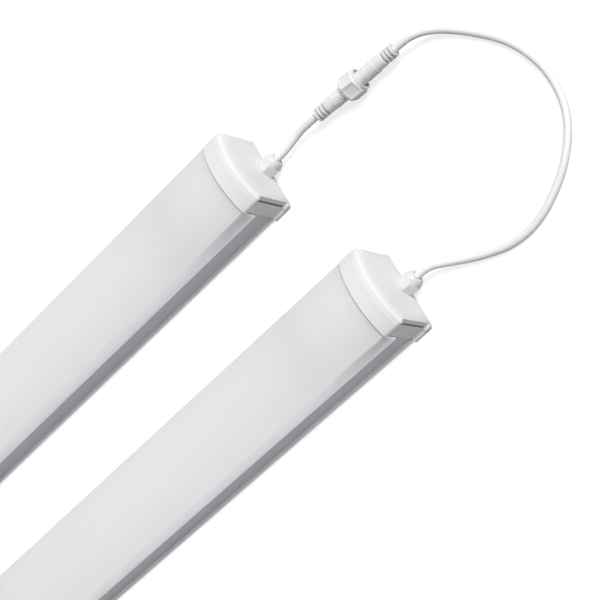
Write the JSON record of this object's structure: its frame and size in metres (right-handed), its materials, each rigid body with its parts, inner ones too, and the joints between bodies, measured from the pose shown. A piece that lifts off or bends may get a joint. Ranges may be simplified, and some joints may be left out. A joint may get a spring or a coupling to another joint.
{
  "type": "vapor tight light fixture",
  "caption": "White linkable vapor tight LED battens with opal D-shaped diffusers, aluminium bases, end caps, cable glands and a screw-lock cord connector.",
  "frame": {"origin": "middle between the two fixtures, at the height of the wall faces of their end caps", "axes": "+X along the fixtures towards the linked ends, +Y from the right fixture to the left one, +Z from the wall face to the crown of the diffuser"},
  "size_m": [0.875, 0.258, 0.0625],
  "materials": {
    "profile": "satin anodised extrusion",
    "opal": "opal polycarbonate",
    "cap": "white moulded polycarbonate",
    "gland": "white moulded nylon",
    "connector": "white moulded plastic",
    "cord": "white cable sheath",
    "seal": "grey silicone rubber",
    "gasket": "dark grey foamed silicone",
    "board": "white solder mask",
    "phosphor": "yellow phosphor",
    "driver_case": "light grey moulded case",
    "terminal": "ivory moulded block",
    "lead_wire": "red insulation",
    "through_wire": "black insulation",
    "screw": "zinc plated",
    "contact": "machined brass"
  },
  "bodies": {
    "fixture_pair": {"left_base_profile": "profile", "left_diffuser": "opal", "left_led_board": "board", "left_leds": "phosphor", "left_driver": "driver_case", "left_driver_leads": "lead_wire", "left_through_wires": "through_wire", "left_link_terminal": "terminal", "left_far_terminal": "terminal", "left_link_gasket": "gasket", "left_far_gasket": "gasket", "left_link_sleeve": "cap", "left_far_sleeve": "cap", "left_link_cover": "cap", "left_far_cover": "cap", "left_cap_screws": "screw", "left_link_gland_body": "gland", "left_far_gland_body": "gland", "left_link_gland_seal": "seal", "left_far_gland_seal": "seal", "left_link_tail": "cord", "right_base_profile": "profile", "right_diffuser": "opal", "right_led_board": "board", "right_leds": "phosphor", "right_driver": "driver_case", "right_driver_leads": "lead_wire", "right_through_wires": "through_wire", "right_link_terminal": "terminal", "right_far_terminal": "terminal", "right_link_gasket": "gasket", "right_far_gasket": "gasket", "right_link_sleeve": "cap", "right_far_sleeve": "cap", "right_link_cover": "cap", "right_far_cover": "cap", "right_cap_screws": "screw", "right_link_gland_body": "gland", "right_far_gland_body": "gland", "right_link_gland_seal": "seal", "right_far_gland_seal": "seal", "right_link_tail": "cord", "left_cord": "cord", "right_cord": "cord", "plug_body": "connector", "plug_pins": "contact", "connector_seal": "seal", "socket_body": "connector", "socket_contacts": "contact"},
    "left_link_gland_nut_body": {"left_link_gland_nut": "gland"},
    "left_far_gland_nut_body": {"left_far_gland_nut": "gland"},
    "right_link_gland_nut_body": {"right_link_gland_nut": "gland"},
    "right_far_gland_nut_body": {"right_far_gland_nut": "gland"},
    "coupling_nut_body": {"coupling_nut": "connector"}
  },
  "joints": [
    {"name": "left_link_gland_turn", "type": "hinge", "parent": "fixture_pair", "child": "left_link_gland_nut_body", "pos_m": [0.2803, 0.089, 0.011], "axis": [1, 0, 0], "continuous": true},
    {"name": "left_far_gland_turn", "type": "hinge", "parent": "fixture_pair", "child": "left_far_gland_nut_body", "pos_m": [-0.3353, 0.089, 0.011], "axis": [-1, 0, 0], "continuous": true},
    {"name": "right_link_gland_turn", "type": "hinge", "parent": "fixture_pair", "child": "right_link_gland_nut_body", "pos_m": [0.3353, -0.089, 0.011], "axis": [1, 0, 0], "continuous": true},
    {"name": "right_far_gland_turn", "type": "hinge", "parent": "fixture_pair", "child": "right_far_gland_nut_body", "pos_m": [-0.2803, -0.089, 0.011], "axis": [-1, 0, 0], "continuous": true},
    {"name": "coupling_turn", "type": "hinge", "parent": "fixture_pair", "child": "coupling_nut_body", "pos_m": [0.38689, 0.08747, 0.013], "axis": [0.9976, -0.0698, 0], "continuous": true}
  ]
}
